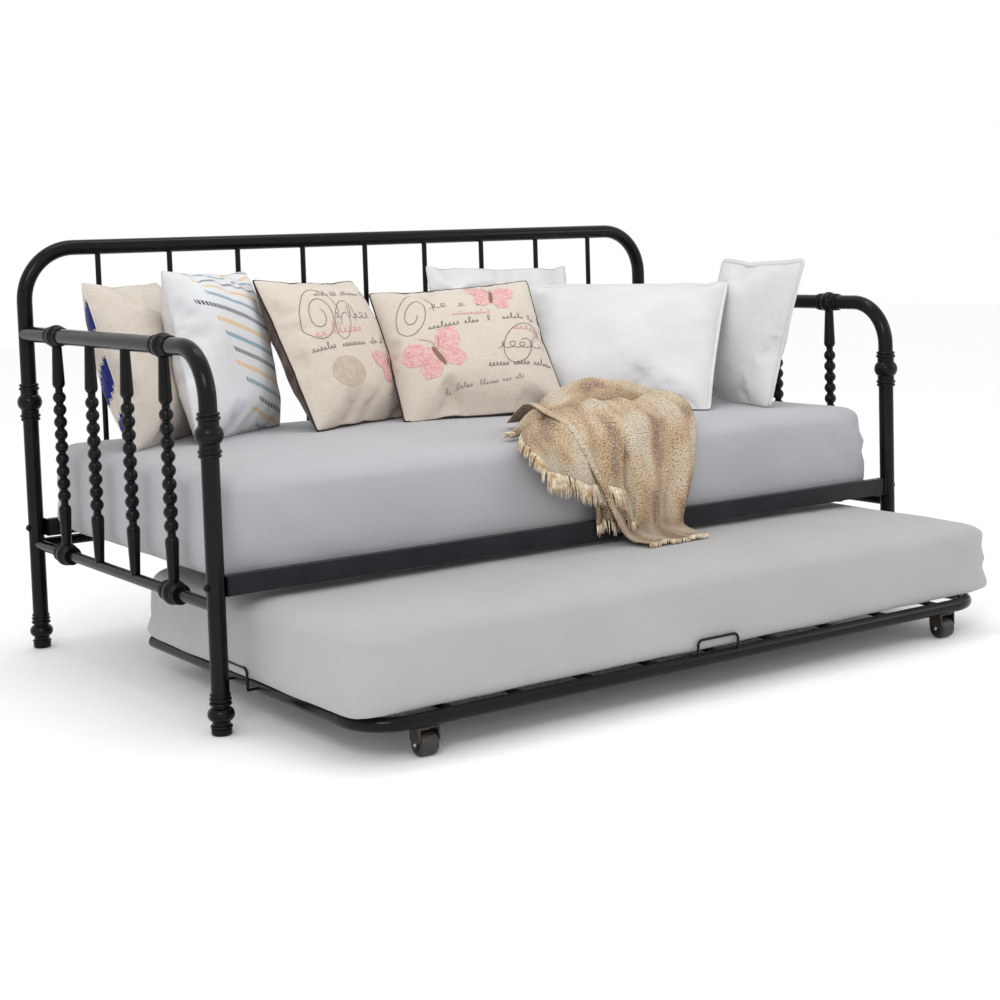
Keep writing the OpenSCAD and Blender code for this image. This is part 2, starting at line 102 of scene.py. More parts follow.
def join(parts):
    """Vertices and faces of several parts as one."""
    verts = []
    faces = []
    for part_verts, part_faces in parts:
        faces += [tuple(len(verts) + i for i in face) for face in part_faces]
        verts += part_verts
    return verts, faces


# ---------------------------------------------------------------- materials

class Graph:
    """A short way to write a material's nodes."""

    def __init__(self, name):
        self.material = bpy.data.materials.new(name)
        self.material.use_nodes = True
        self.tree = self.material.node_tree
        self.tree.nodes.clear()
        self.shader = self.tree.nodes.new("ShaderNodeBsdfPrincipled")
        output = self.tree.nodes.new("ShaderNodeOutputMaterial")
        self.link(self.shader.outputs[0], output.inputs["Surface"])

    def link(self, a, b):
        self.tree.links.new(a, b)

    def put(self, value, socket):
        """Links another node's output, or sets a constant on the socket itself."""
        if isinstance(value, bpy.types.NodeSocket):
            self.link(value, socket)
        elif value is not None:
            socket.default_value = value

    def node(self, kind, inputs=None, **settings):
        made = self.tree.nodes.new(kind)
        for key, value in settings.items():
            setattr(made, key, value)
        for key, value in (inputs or {}).items():
            self.put(value, made.inputs[key])
        return made

    def math(self, operation, a, b=None, c=None):
        return self.node("ShaderNodeMath", {0: a, 1: b, 2: c}, operation=operation).outputs[0]

    def coord(self, kind="Object"):
        return self.node("ShaderNodeTexCoord").outputs[kind]

    def stretched(self, vector, scale):
        return self.node("ShaderNodeMapping", {"Vector": vector, "Scale": scale}).outputs[0]

    def noise(self, vector, scale, detail=3.0, roughness=0.55):
        return self.node("ShaderNodeTexNoise", {
            "Vector": vector, "Scale": scale, "Detail": detail, "Roughness": roughness}).outputs["Fac"]

    def long_noise(self, vector, scale, detail=3.0, roughness=0.55):
        """Noise with its own scale along each axis."""
        return self.noise(self.stretched(vector, scale), 1.0, detail, roughness)

    def wave(self, vector, scale, direction="X", distortion=0.0, detail=0.0):
        return self.node("ShaderNodeTexWave", {
            "Vector": vector, "Scale": scale, "Distortion": distortion, "Detail": detail},
            bands_direction=direction).outputs["Fac"]

    def ramp(self, factor, stops):
        made = self.tree.nodes.new("ShaderNodeValToRGB")
        elements = made.color_ramp.elements
        while len(elements) < len(stops):
            elements.new(0.5)
        for element, (position, colour) in zip(elements, stops):
            element.position = position
            element.color = (*colour, 1)
        self.put(factor, made.inputs[0])
        return made.outputs[0]

    def mix(self, factor, a, b):
        """Colour a where factor is 0 and colour b where it is 1."""
        made = self.node("ShaderNodeMix", data_type="RGBA")
        self.put(factor, made.inputs[0])
        for value, socket in ((a, made.inputs[6]), (b, made.inputs[7])):
            self.put((*value, 1) if isinstance(value, tuple) and len(value) == 3 else value, socket)
        return made.outputs[2]

    def map_range(self, value, low, high, to_low=0.0, to_high=1.0):
        return self.node("ShaderNodeMapRange", {
            0: value, 1: low, 2: high, 3: to_low, 4: to_high}).outputs[0]

    def bump(self, height, strength, distance, normal=None):
        return self.node("ShaderNodeBump", {
            "Height": height, "Strength": strength, "Distance": distance, "Normal": normal}).outputs[0]

    def finish(self, **sockets):
        names = {"color": "Base Color", "rough": "Roughness", "metal": "Metallic", "normal": "Normal",
                 "sheen": "Sheen Weight", "sheen_rough": "Sheen Roughness", "specular": "Specular IOR Level"}
        for key, value in sockets.items():
            self.put(value, self.shader.inputs[names[key]])
        return self.material


def powder_coat(name, base, light, rough_low, rough_high):
    """Baked powder coat: faint orange peel, a little dust tone and slight wear in the gloss."""
    g = Graph(name)
    where = g.coord()
    tone = g.noise(where, 9, 5)
    speck = g.noise(where, 420, 2)
    colour = g.mix(g.map_range(tone, 0.35, 0.75), base, light)
    rough = g.map_range(g.noise(where, 26, 4), 0.3, 0.7, rough_low, rough_high)
    peel = g.bump(g.noise(where, 650, 2), 0.12, 0.0004)
    normal = g.bump(speck, 0.06, 0.0006, peel)
    return g.finish(color=colour, rough=rough, normal=normal, specular=0.17)


def bright_steel(name):
    """Zinc-plated steel with a fine brushed grain."""
    g = Graph(name)
    where = g.coord()
    brushed = g.long_noise(where, (1500, 60, 60), 3)
    colour = g.mix(brushed, (0.42, 0.41, 0.4), (0.66, 0.65, 0.63))
    rough = g.map_range(brushed, 0.2, 0.8, 0.22, 0.42)
    return g.finish(color=colour, rough=rough, metal=1.0, normal=g.bump(brushed, 0.15, 0.0003))


def dark_plate(name):
    """Stamped steel under a thin dark finish, browner where it has rubbed."""
    g = Graph(name)
    where = g.coord()
    patch = g.noise(where, 60, 5)
    colour = g.mix(g.map_range(patch, 0.4, 0.7), (0.03, 0.024, 0.02), (0.1, 0.075, 0.06))
    rough = g.map_range(patch, 0.3, 0.7, 0.28, 0.5)
    return g.finish(color=colour, rough=rough, metal=0.7, normal=g.bump(g.noise(where, 500, 2), 0.1, 0.0003))


def wheel_plastic(name):
    """Black moulded plastic, scuffed round the tread."""
    g = Graph(name)
    where = g.coord()
    scuff = g.long_noise(where, (60, 300, 300), 4)
    colour = g.mix(g.map_range(scuff, 0.45, 0.75), (0.012, 0.012, 0.012), (0.05, 0.048, 0.045))
    rough = g.map_range(scuff, 0.3, 0.7, 0.32, 0.6)
    return g.finish(color=colour, rough=rough, normal=g.bump(g.noise(where, 700, 3), 0.25, 0.0004))


def weave_height(g, vector, threads):
    """Height of a plain weave with that many threads a metre, over and under."""
    across, along, upright = [g.wave(vector, threads / 2, axis, detail=1.0) for axis in "XYZ"]
    return g.math("ADD", g.math("ADD", across, along), upright)


def sheet_cloth(name, base, shade):
    """Smooth brushed sheet cloth, as on the mattresses."""
    g = Graph(name)
    where = g.coord()
    cloud = g.noise(where, 3.2, 5)
    fuzz = g.noise(where, 900, 2)
    colour = g.mix(g.map_range(cloud, 0.3, 0.7), base, shade)
    colour = g.mix(g.map_range(fuzz, 0.3, 0.7, 0.0, 0.12), colour, (0.9, 0.9, 0.92))
    crease = g.long_noise(where, (4, 16, 10), 4, 0.5)
    normal = g.bump(crease, 0.35, 0.012)
    normal = g.bump(weave_height(g, where, 900), 0.12, 0.0004, normal)
    rough = g.map_range(fuzz, 0.2, 0.8, 0.72, 0.9)
    return g.finish(color=colour, rough=rough, normal=normal, sheen=0.25, sheen_rough=0.5, specular=0.25)


FRAME_PAINT = powder_coat("frame_powder_coat", (0.003, 0.003, 0.003), (0.006, 0.0056, 0.0052), 0.13, 0.24)
RAIL_PAINT = powder_coat("rail_powder_coat", (0.013, 0.013, 0.017), (0.021, 0.021, 0.026), 0.34, 0.46)
ZINC = bright_steel("zinc_plate")
CASTER_PLATE = dark_plate("caster_plate_finish")
WHEEL = wheel_plastic("wheel_black_plastic")
UPPER_SHEET = sheet_cloth("upper_sheet_cloth", (0.385, 0.38, 0.405), (0.345, 0.34, 0.365))
LOWER_SHEET = sheet_cloth("lower_sheet_cloth", (0.36, 0.36, 0.36), (0.32, 0.32, 0.32))

SLOT_MATERIALS = {
    "frame_paint": FRAME_PAINT,
    "rail_paint": RAIL_PAINT,
    "zinc": ZINC,
    "caster_plate": CASTER_PLATE,
    "wheel_black": WHEEL,
}


def finish_frame():
    """Puts the right finish on every CAD piece that shows."""
    slot_of = {row["node"]: row["material_slot"] for row in frame["record"]["subparts"]}
    for name, obj in nodes.items():
        finish = SLOT_MATERIALS.get(slot_of[name])
        if finish:
            for material_slot in obj.material_slots:
                material_slot.material = finish


finish_frame()


# ---------------------------------------------------------------- camera, light and floor

SENSOR = 36.0             # millimetres
CAMERA_FOCAL = 63.288     # millimetres
CAMERA_YAW = -0.6068      # radians, as are the next two
CAMERA_PITCH = -0.0827
CAMERA_ROLL = -0.030
CAMERA_PLACE = Vector((-2.4901, -3.7228 + BED_Y, 0.9951))
CAMERA_SHIFT_Y = -0.12
FLOOR_REACH = 14


def make_camera():
    data = bpy.data.cameras.new("camera")
    data.sensor_width = SENSOR
    data.lens = CAMERA_FOCAL
    data.shift_y = CAMERA_SHIFT_Y
    data.clip_end = 60
    obj = new_object("camera", data)
    turn = (Matrix.Rotation(CAMERA_YAW, 4, "Z")
            @ Matrix.Rotation(math.pi / 2 + CAMERA_PITCH, 4, "X")
            @ Matrix.Rotation(CAMERA_ROLL, 4, "Z"))
    obj.matrix_world = Matrix.Translation(CAMERA_PLACE) @ turn
    scene.camera = obj


def area_light(name, place, target, size, watts):
    data = bpy.data.lights.new(name, "AREA")
    data.shape = "RECTANGLE"
    data.size = size[0]
    data.size_y = size[1]
    data.energy = watts
    obj = new_object(name, data)
    obj.location = place
    obj.rotation_euler = (Vector(target) - Vector(place)).to_track_quat("-Z", "Y").to_euler()


def make_studio():
    """A white surround, three soft lights and a pale floor."""
    world = bpy.data.worlds.new("studio")
    scene.world = world
    world.use_nodes = True
    back = world.node_tree.nodes["Background"]
    back.inputs["Color"].default_value = (1.0, 1.0, 1.0, 1)
    back.inputs["Strength"].default_value = 1.0
    area_light("key", (-3.4, -3.6, 3.6), (0, 0, 0.4), (2.0, 1.5), 62)
    area_light("fill", (3.8, -3.0, 2.4), (0, 0, 0.4), (1.6, 1.6), 16)
    area_light("top", (0, 0.2, 4.2), (0, 0, 0), (3.0, 0.8), 26)
    scene.view_settings.view_transform = "Standard"
    corners = [(x * FLOOR_REACH, y * FLOOR_REACH, 0) for x, y in ((-1, -1), (1, -1), (1, 1), (-1, 1))]
    floor = mesh_from("floor", corners, [(0, 1, 2, 3)], False)
    g = Graph("studio_floor")
    grain = g.noise(g.coord(), 30, 3)
    floor.data.materials.append(g.finish(
        color=g.mix(g.map_range(grain, 0.3, 0.7), (0.96, 0.96, 0.96), (0.975, 0.975, 0.975)), rough=0.7))


# ---------------------------------------------------------------- fabrics

def linen(name, base, fleck, ink=None):
    """Slubby undyed linen; ink is a function of the graph and the colour that prints on it."""
    g = Graph(name)
    where = g.coord()
    slub_a = g.long_noise(where, (60, 60, 700), 3)
    slub_b = g.long_noise(where, (700, 700, 60), 3)
    slub = g.math("MAXIMUM", slub_a, slub_b)
    colour = g.mix(g.map_range(slub, 0.5, 0.72), base, fleck)
    cloud = g.noise(where, 14, 3)
    colour = g.mix(g.map_range(cloud, 0.35, 0.7, 0.0, 0.2), colour, (0.60, 0.52, 0.44))
    if ink:
        colour = ink(g, colour)
    normal = g.bump(slub, 0.35, 0.0012)
    normal = g.bump(weave_height(g, where, 700), 0.2, 0.0005, normal)
    rough = g.map_range(slub, 0.3, 0.8, 0.82, 0.95)
    return g.finish(color=colour, rough=rough, normal=normal, sheen=0.2, sheen_rough=0.4, specular=0.2)


def uv_parts(g):
    """How far across and how far up the cloth, from 0 to 1."""
    split = g.node("ShaderNodeSeparateXYZ", {"Vector": g.coord("UV")})
    return split.outputs["X"], split.outputs["Y"]


def hashed(g, value):
    """A steady pseudo-random number from 0 to 1 for each whole value."""
    return g.math("FRACT", g.math("MULTIPLY", g.math("SINE", g.math("MULTIPLY", value, 12.9898)), 437.58))


def dash_rows(g, ground):
    """Rows of short slanting stitches in teal, mustard and navy, with staggered starts."""
    rows = 14.0
    stitches = 38.0
    u, v = uv_parts(g)
    place = g.math("MULTIPLY", g.math("MULTIPLY_ADD", u, 0.30, v), rows)
    row = g.math("FLOOR", place)
    within = g.math("FRACT", place)
    line = g.math("LESS_THAN", g.math("ABSOLUTE", g.math("SUBTRACT", within, 0.5)), 0.17)
    lean = g.math("MULTIPLY", within, 1.3)
    slanted = g.math("FRACT", g.math("ADD", g.math("MULTIPLY", u, stitches), lean))
    dash = g.math("LESS_THAN", slanted, 0.66)
    start = g.math("ADD", g.math("MULTIPLY", g.math("SUBTRACT", 1.0, v), 0.44),
                   g.math("MULTIPLY_ADD", hashed(g, row), 0.16, 0.04))
    begun = g.math("GREATER_THAN", u, start)
    mask = g.math("MULTIPLY", g.math("MULTIPLY", line, dash), begun)
    third = g.math("MODULO", row, 3.0)
    thread = g.mix(g.math("GREATER_THAN", third, 0.5), (0.04, 0.20, 0.27), (0.66, 0.42, 0.12))
    thread = g.mix(g.math("GREATER_THAN", third, 1.5), thread, (0.008, 0.010, 0.045))
    return g.mix(g.math("MULTIPLY", mask, 0.92), ground, thread)


def stepped_zigzag(g, ground):
    """Navy stepped bands edged with a broken dark line."""
    u, v = uv_parts(g)
    step = g.math("DIVIDE", g.math("FLOOR", g.math("MULTIPLY", u, 26.0)), 26.0)
    climb = g.math("PINGPONG", g.math("MULTIPLY", step, 2.2), 0.34)
    wave = g.math("FRACT", g.math("ADD", g.math("MULTIPLY", v, 3.1), climb))
    off = g.math("ABSOLUTE", g.math("SUBTRACT", wave, 0.5))
    band = g.math("LESS_THAN", off, 0.24)
    rim = g.math("MULTIPLY", g.math("GREATER_THAN", off, 0.25), g.math("LESS_THAN", off, 0.275))
    broken = g.math("GREATER_THAN", g.math("FRACT", g.math("MULTIPLY", u, 60.0)), 0.45)
    colour = g.mix(band, ground, (0.012, 0.018, 0.15))
    return g.mix(g.math("MULTIPLY", rim, broken), colour, (0.02, 0.02, 0.025))


def white_cotton(name, base=(0.69, 0.68, 0.685), ink=None):
    g = Graph(name)
    where = g.coord()
    weave = weave_height(g, where, 1100)
    cloud = g.noise(where, 7, 4)
    colour = g.mix(g.map_range(cloud, 0.3, 0.7), base, (0.61, 0.60, 0.605))
    if ink:
        colour = ink(g, colour)
    crease = g.long_noise(where, (10, 10, 22), 4)
    normal = g.bump(crease, 0.25, 0.01)
    normal = g.bump(weave, 0.12, 0.0003, normal)
    rough = g.map_range(cloud, 0.3, 0.7, 0.7, 0.85)
    return g.finish(color=colour, rough=rough, normal=normal, sheen=0.15, sheen_rough=0.5, specular=0.25)


def plain_thread(name, base, shade, scale=900):
    """Twisted cord, yarn or print ink: two tones with a fine twist."""
    g = Graph(name)
    where = g.coord()
    twist = g.noise(where, scale, 3)
    colour = g.mix(g.map_range(twist, 0.35, 0.65), base, shade)
    return g.finish(color=colour, rough=g.map_range(twist, 0.2, 0.8, 0.75, 0.95),
                    normal=g.bump(twist, 0.3, 0.0005), specular=0.2)


def throw_weave(name):
    """Loose hand-woven wool: cream and tan yarns in patches and a coarse weave, with dark brown patches and
    strands that are painted shade, the colour of the folds' shadows, laid by noise over the cloth.
    """
    g = Graph(name)
    cloth = g.coord("UV")
    where = g.coord()
    band = g.long_noise(cloth, (9, 6, 1), 2)
    fleck = g.long_noise(cloth, (260, 260, 1), 2)
    # the darkest stop is painted shade: the dark brown of the folds' shadows, put in patches by noise
    yarn_tone_and_painted_shade = g.ramp(band, [(0.38, (0.27, 0.115, 0.045)), (0.45, (0.56, 0.32, 0.14)), (0.51, (0.74, 0.51, 0.29)),
                         (0.59, (0.84, 0.71, 0.53))])
    colour = g.mix(g.map_range(fleck, 0.48, 0.58, 0.0, 0.7), yarn_tone_and_painted_shade, (0.90, 0.79, 0.62))
    # dark brown strands: painted shade from the folds, scattered by noise
    colour = g.mix(g.map_range(g.long_noise(cloth, (190, 330, 1), 2), 0.54, 0.62, 0.0, 0.8),
                   colour, (0.20, 0.10, 0.035))
    over = g.wave(cloth, 62, "X", 2.0, 1.0)
    under = g.wave(cloth, 74, "Y", 2.0, 1.0)
    height = g.math("ADD", g.math("MAXIMUM", over, under), g.math("MULTIPLY", fleck, 0.8))
    normal = g.bump(height, 1.0, 0.0035)
    normal = g.bump(g.noise(where, 1500, 2), 0.2, 0.0006, normal)
    return g.finish(color=colour, rough=g.map_range(fleck, 0.2, 0.8, 0.86, 0.98), normal=normal,
                    sheen=0.3, sheen_rough=0.5, specular=0.15)


LINEN_BASE = (0.64, 0.585, 0.52)
LINEN_FLECK = (0.50, 0.435, 0.37)
LINEN = linen("undyed_linen", LINEN_BASE, LINEN_FLECK)
PRINTED_LINEN = linen("printed_linen", (0.655, 0.59, 0.51), (0.54, 0.47, 0.395))
NAVY_LINEN = linen("navy_zigzag_linen", LINEN_BASE, LINEN_FLECK, stepped_zigzag)
BROWN_LINEN = linen("brown_backing", (0.085, 0.052, 0.038), (0.05, 0.03, 0.022))
WHITE = white_cotton("white_cotton")
STRIPED = white_cotton("stitched_cotton", (0.68, 0.695, 0.72), dash_rows)
INK_GREY = plain_thread("grey_print", (0.06, 0.055, 0.06), (0.16, 0.14, 0.14))
INK_PINK = plain_thread("pink_print", (0.62, 0.22, 0.25), (0.76, 0.42, 0.42), 500)
INK_BROWN = plain_thread("brown_print", (0.20, 0.11, 0.07), (0.30, 0.18, 0.12))
DARK_PIPING = plain_thread("dark_piping", (0.02, 0.018, 0.018), (0.05, 0.04, 0.035))
PALE_PIPING = plain_thread("pale_piping", (0.62, 0.56, 0.50), (0.74, 0.70, 0.66))
WHITE_PIPING = plain_thread("white_piping", (0.66, 0.655, 0.665), (0.60, 0.59, 0.60))
THROW_WEAVE = throw_weave("throw_weave")
FRINGE_YARN = plain_thread("fringe_yarn", (0.84, 0.77, 0.62), (0.50, 0.33, 0.17), 60)


# ---------------------------------------------------------------- mattresses

def axis_points(half, edge, step):
    """Grid lines along one side of a rounded block: close together round the edges."""
    ring = [edge * (1 - math.cos(math.radians(a))) for a in (0, 18, 36, 54, 72, 90)]
    inner = half - edge
    count = max(2, round(2 * inner / step))
    middle = [-inner + 2 * inner * k / count for k in range(1, count)]
    low = [-half + r for r in ring]
    return low + middle + [-x for x in reversed(low)]


def block_mesh(name, half, edge_xy, edge_z, step):
    """A closed block whose upright edges and flat edges are rounded by their own radii."""
    radii = np.array([edge_xy, edge_xy, edge_z])
    axes = [axis_points(size, radius, step) for size, radius in zip(half, radii)]
    verts = []
    index = {}
    faces = []

    def vertex(p):
        key = tuple(round(c, 6) for c in p)
        if key not in index:
            index[key] = len(verts)
            verts.append(p)
        return index[key]

    for axis in range(3):
        first, second = [k for k in range(3) if k != axis]
        for side in (-1, 1):
            for i in range(len(axes[first]) - 1):
                for j in range(len(axes[second]) - 1):
                    quad = []
                    for di, dj in ((0, 0), (1, 0), (1, 1), (0, 1)):
                        p = [0.0, 0.0, 0.0]
                        p[axis] = side * half[axis]
                        p[first] = axes[first][i + di]
                        p[second] = axes[second][j + dj]
                        quad.append(vertex(p))
                    flip = (side > 0) == (axis == 1)
                    faces.append(quad[::-1] if flip else quad)
    points = np.array(verts)
    inner = half - radii
    core = np.clip(points, -inner, inner)
    way = (points - core) / radii
    way /= np.maximum(np.linalg.norm(way, axis=1), 1e-9)[:, None]
    return mesh_from(name, core + way * radii, faces)


GRID_STEP = 0.026
FOOT_RADIUS = 0.27    # radius of the lower edge, as a share of the upper edge's


def tuck(short, edge):
    """A point's way in from the side, near the block's foot, after the lower edge is tightened."""
    if short < edge:
        return FOOT_RADIUS * short
    return min(short, (2 - FOOT_RADIUS) * short - 2 * (1 - FOOT_RADIUS) * edge)


def mattress(name, node, body, material, edge_xy, edge_z, crown, wrinkle, seed, overhang=0.0):
    """A foam block in a fitted sheet; overhang is how far its front hangs past the CAD block."""
    low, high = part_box(node)
    low.y -= overhang
    centre = (low + high) / 2
    half = np.array(high - low) / 2
    half[2] -= crown / 2
    obj = block_mesh(name, half, edge_xy, edge_z, GRID_STEP)
    points = coords(obj)
    shift = Vector((seed * 7.3, seed * 3.1, seed * 1.7))
    for p in points:
        u, v, w = p / half
        p[2] += max(0.0, w) * crown * (1 - u ** 4) * (1 - v ** 4)
        side = 1 - abs(w) ** 3
        place = Vector(p)
        soft = noise.noise(place * 5 + shift)
        fine = noise.noise(Vector((place.x * 14, place.y * 9, place.z * 5)) + shift)
        ridge = 1 - abs(noise.noise(Vector((place.x * 6 + place.z * 9, place.y * 6, place.z * 3)) + shift))
        corner = min(1.0, (abs(u) * abs(v)) ** 6)
        amount = wrinkle * (0.8 * soft + 0.35 * fine + (0.7 + 1.8 * corner) * side * (ridge ** 4 - 0.5))
        p += np.array((u ** 9, v ** 9, w ** 3 * 0.35)) * amount
        under = min(1.0, max(0.0, -w - 0.2) / 0.5) * (1 - min(1.0, abs(u * v)) ** 20)
        for axis in (0, 1):
            short = max(0.0, half[axis] - abs(p[axis]))
            reach = half[axis] - (short + (tuck(short, edge_z) - short) * under)
            p[axis] = math.copysign(max(reach, abs(p[axis])) * (1 + 0.004 * side), p[axis])
    points += np.array(centre) - np.array((0, 0, crown / 2))
    set_coords(obj, points)
    obj.data.materials.append(material)
    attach(obj, body)
    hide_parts(node)
    return obj


def loop_tube(name, loop, radius, material, sides):
    """A thin cord along a closed line of points."""
    count = len(loop)
    verts = []
    faces = []
    up = Vector((0.13, 0.21, 0.97)).normalized()
    for k in range(count):
        along = (Vector(loop[(k + 1) % count]) - Vector(loop[k - 1])).normalized()
        a = along.cross(up)
        a = a.normalized() if a.length > 0.05 else along.cross(Vector((1, 0, 0))).normalized()
        b = along.cross(a)
        n = (k + 1) % count
        for s in range(sides):
            angle = 2 * math.pi * s / sides
            verts.append(Vector(loop[k]) + (a * math.cos(angle) + b * math.sin(angle)) * radius)
            t = (s + 1) % sides
            faces.append((k * sides + s, k * sides + t, n * sides + t, n * sides + s))
    obj = mesh_from(name, verts, faces)
    obj.data.materials.append(material)
    return obj


upper = mattress("upper_mattress_cover", "upper_mattress", "daybed", UPPER_SHEET,
                 0.050, 0.034, 0.006, 0.0065, 1)
mattress("trundle_mattress_cover", "trundle_mattress", "trundle", LOWER_SHEET,
         0.064, 0.030, 0.005, 0.0075, 2, overhang=0.016)


# ---------------------------------------------------------------- pillows

CELLS = 40           # squares along each side of a case
BELLY = 0.075        # how far the middle of a cut side stands out, so that the stuffed sides run straight
HOLLOW = 0.035       # how far the middle of a stuffed side draws in, as a share of the half width
PRESSURE = 4.0
CLOTH_FRAMES = 20
EASE_STEPS = 24      # how far into the case a move of its seam reaches, in rings of cells
EASE_LOSS = 0.96
DENT_STEPS = 5
GAP = 0.0008         # between two cases that touch
ON_SHEET = 0.0012    # between a case and the mattress
BACK_LIMIT = BED_Y + 0.497
SIDE_LIMIT = 0.952


class Pillow:
    """A stuffed case: turn, lean and roll in degrees, size as width, height and thickness in metres."""

    def __init__(self, node, turn, lean, roll, size, front, back, slot, sink=0.026, plump=1.2, taller=1.05,
                 fill=0.8, flange=0.0):
        self.node = node
        self.size = size
        self.front = front
        self.back = back
        self.slot = slot
        self.fill = fill
        self.flange = flange
        self.plump = plump
        self.taller = taller
        self.place = (Matrix.Translation(mid(node) - Vector((0, 0, sink)))
                      @ Matrix.Rotation(math.radians(turn), 4, "Z")
                      @ Matrix.Rotation(math.radians(-lean), 4, "X")
                      @ Matrix.Rotation(math.radians(-roll), 4, "Y"))

    def build(self, seed):
        """Two squares of cloth sewn round the rim and blown up like a stuffed case."""
        width, height, _ = self.size
        cells = CELLS
        verts = []
        index = {}
        faces = []
        corner_uv = []

        def vertex(i, j, layer):
            rim = i in (0, cells) or j in (0, cells)
            key = (i, j, 0 if rim else layer)
            if key not in index:
                u, v = 2 * i / cells - 1, 2 * j / cells - 1
                bulge = 0 if rim else (layer * 2 - 1) * (0.003 + 0.02 * (1 - u * u) * (1 - v * v))
                index[key] = len(verts)
                verts.append((u * width / 2 * (1 + BELLY * (1 - v * v)), bulge,
                              v * height / 2 * (1 + BELLY * (1 - u * u))))
            return index[key]

        for layer in (0, 1):
            for i in range(cells):
                for j in range(cells):
                    ring = [(i, j), (i + 1, j), (i + 1, j + 1), (i, j + 1)]
                    ring = ring if layer == 0 else ring[::-1]
                    faces.append([vertex(a, b, layer) for a, b in ring])
                    corner_uv += [(a / cells, b / cells) for a, b in ring]
        obj = mesh_from(self.node + "_case", verts, faces)
        uv = obj.data.uv_layers.new(name="cloth")
        uv.data.foreach_set("uv", [c for pair in corner_uv for c in pair])
        obj.data.polygons.foreach_set("material_index", [k // (cells * cells) for k in range(len(faces))])
        obj.data.materials.append(self.front)
        obj.data.materials.append(self.back)
        ring = ([(i, 0) for i in range(cells)] + [(cells, j) for j in range(cells)]
                + [(i, cells) for i in range(cells, 0, -1)] + [(0, j) for j in range(cells, 0, -1)])
        self.rim = [index[(i, j, 0)] for i, j in ring]
        self.rim_uv = [(2 * i / cells - 1, 2 * j / cells - 1) for i, j in ring]
        self.obj = obj
        self.inflate()
        self.fit(seed)

    def inflate(self):
        """Fills the case by a short cloth simulation with pressure inside."""
        cloth = self.obj.modifiers.new("stuffing", "CLOTH")
        settings = cloth.settings
        settings.quality = 6
        settings.mass = 0.05
        settings.tension_stiffness = 15
        settings.compression_stiffness = 15
        settings.shear_stiffness = 6
        settings.bending_stiffness = 0.25
        settings.air_damping = 1
        settings.use_pressure = True
        settings.uniform_pressure_force = PRESSURE
        settings.effector_weights.gravity = 0
        for step in range(1, CLOTH_FRAMES + 1):
            scene.frame_set(step)
        apply_modifiers(self.obj)
        scene.frame_set(1)

    def fit(self, seed):
        """Brings the stuffed case to its own size, with slack creases, and puts it in its place."""
        width, height, thick = (s - 2 * f for s, f in zip(self.size, (self.flange, self.flange, 0)))
        points = coords(self.obj)
        points -= (points.max(axis=0) + points.min(axis=0)) / 2
        spread = np.ptp(points, axis=0)
        tall = height * self.taller
        points *= np.array((width, thick * self.plump, tall)) / spread
        points += self.ease_seam(points, width, tall)
        points[:, 2] += (tall - height) / 2
        shift = Vector((seed * 5.1, seed * 2.3, seed * 9.7))
        for p in points:
            u, v = 2 * p[0] / width, 2 * p[2] / height
            reach = min(1.0, abs(p[1]) / (thick * 0.25))
            spot = Vector(p)
            crease = noise.noise(Vector((spot.x * 9, spot.y * 4, spot.z * 9)) + shift) * 0.0045
            angle = math.atan2(v, u)
            outward = u * u + v * v
            pull = noise.noise(Vector((angle * 5, outward * 1.2, seed))) * 0.004 * min(1, outward)
            p[1] += math.copysign(crease + pull, p[1]) * reach
        self.points = np.array([self.place @ Vector(p) for p in points])

    def mean_of_neighbours(self, values):
        edges = np.zeros(len(self.obj.data.edges) * 2, dtype=int)
        self.obj.data.edges.foreach_get("vertices", edges)
        a, b = edges.reshape(-1, 2).T
        total = np.zeros_like(values)
        np.add.at(total, a, values[b])
        np.add.at(total, b, values[a])
        return total / np.bincount(edges, minlength=len(values))[:, None]

    def ease_seam(self, points, width, height):
        """Brings the seam back to four clean, slightly hollow sides, with the cloth near it."""
        push = np.zeros_like(points)
        free = np.ones(len(points), dtype=bool)
        for k, (u, v) in zip(self.rim, self.rim_uv):
            target = (u * width / 2 * (1 - HOLLOW * (1 - v * v)), 0.3 * points[k][1],
                      v * height / 2 * (1 - HOLLOW * (1 - u * u)))
            push[k] = np.array(target) - points[k]
            free[k] = False
        for _ in range(EASE_STEPS):
            push[free] = EASE_LOSS * self.mean_of_neighbours(push)[free]
        return push

    def tree(self):
        polygons = [tuple(p.vertices) for p in self.obj.data.polygons]
        return BVHTree.FromPolygons([Vector(p) for p in self.points], polygons)

    def rest_on(self, support):
        """The part that would be inside the mattress spreads flat on it."""
        for p in self.points:
            hit = support.ray_cast(Vector((p[0], p[1], 2.0)), Vector((0, 0, -1)))[0]
            if hit is not None:
                p[2] = max(p[2], hit.z + ON_SHEET)

    def keep_clear(self, other, share):
        """Where this case is inside another, it gives way by a share of the depth."""
        tree = other.tree()
        low, high = other.points.min(axis=0) - 0.002, other.points.max(axis=0) + 0.002
        moved = self.points.copy()
        for k, p in enumerate(self.points):
            if (p < low).any() or (p > high).any():
                continue
            spot = Vector(p)
            near, normal, _, distance = tree.find_nearest(spot)
            inside = (spot - near).dot(normal) < 0
            if inside:
                moved[k] = np.array(spot + (near - spot) * share + normal * GAP)
            elif distance < GAP:
                moved[k] = np.array(near + normal * GAP)
        self.points = self.points + self.spread_out(moved - self.points)

    def spread_out(self, push):
        """Shares a push with the cloth round it, so a dent has soft sides."""
        for _ in range(DENT_STEPS):
            push = 0.5 * push + 0.5 * self.mean_of_neighbours(push)
        return push

    def settle(self, support):
        """Brings the case onto the mattress and inside the frame."""
        self.rest_on(support)
        np.clip(self.points[:, 1], None, BACK_LIMIT, out=self.points[:, 1])
        np.clip(self.points[:, 0], -SIDE_LIMIT, SIDE_LIMIT, out=self.points[:, 0])

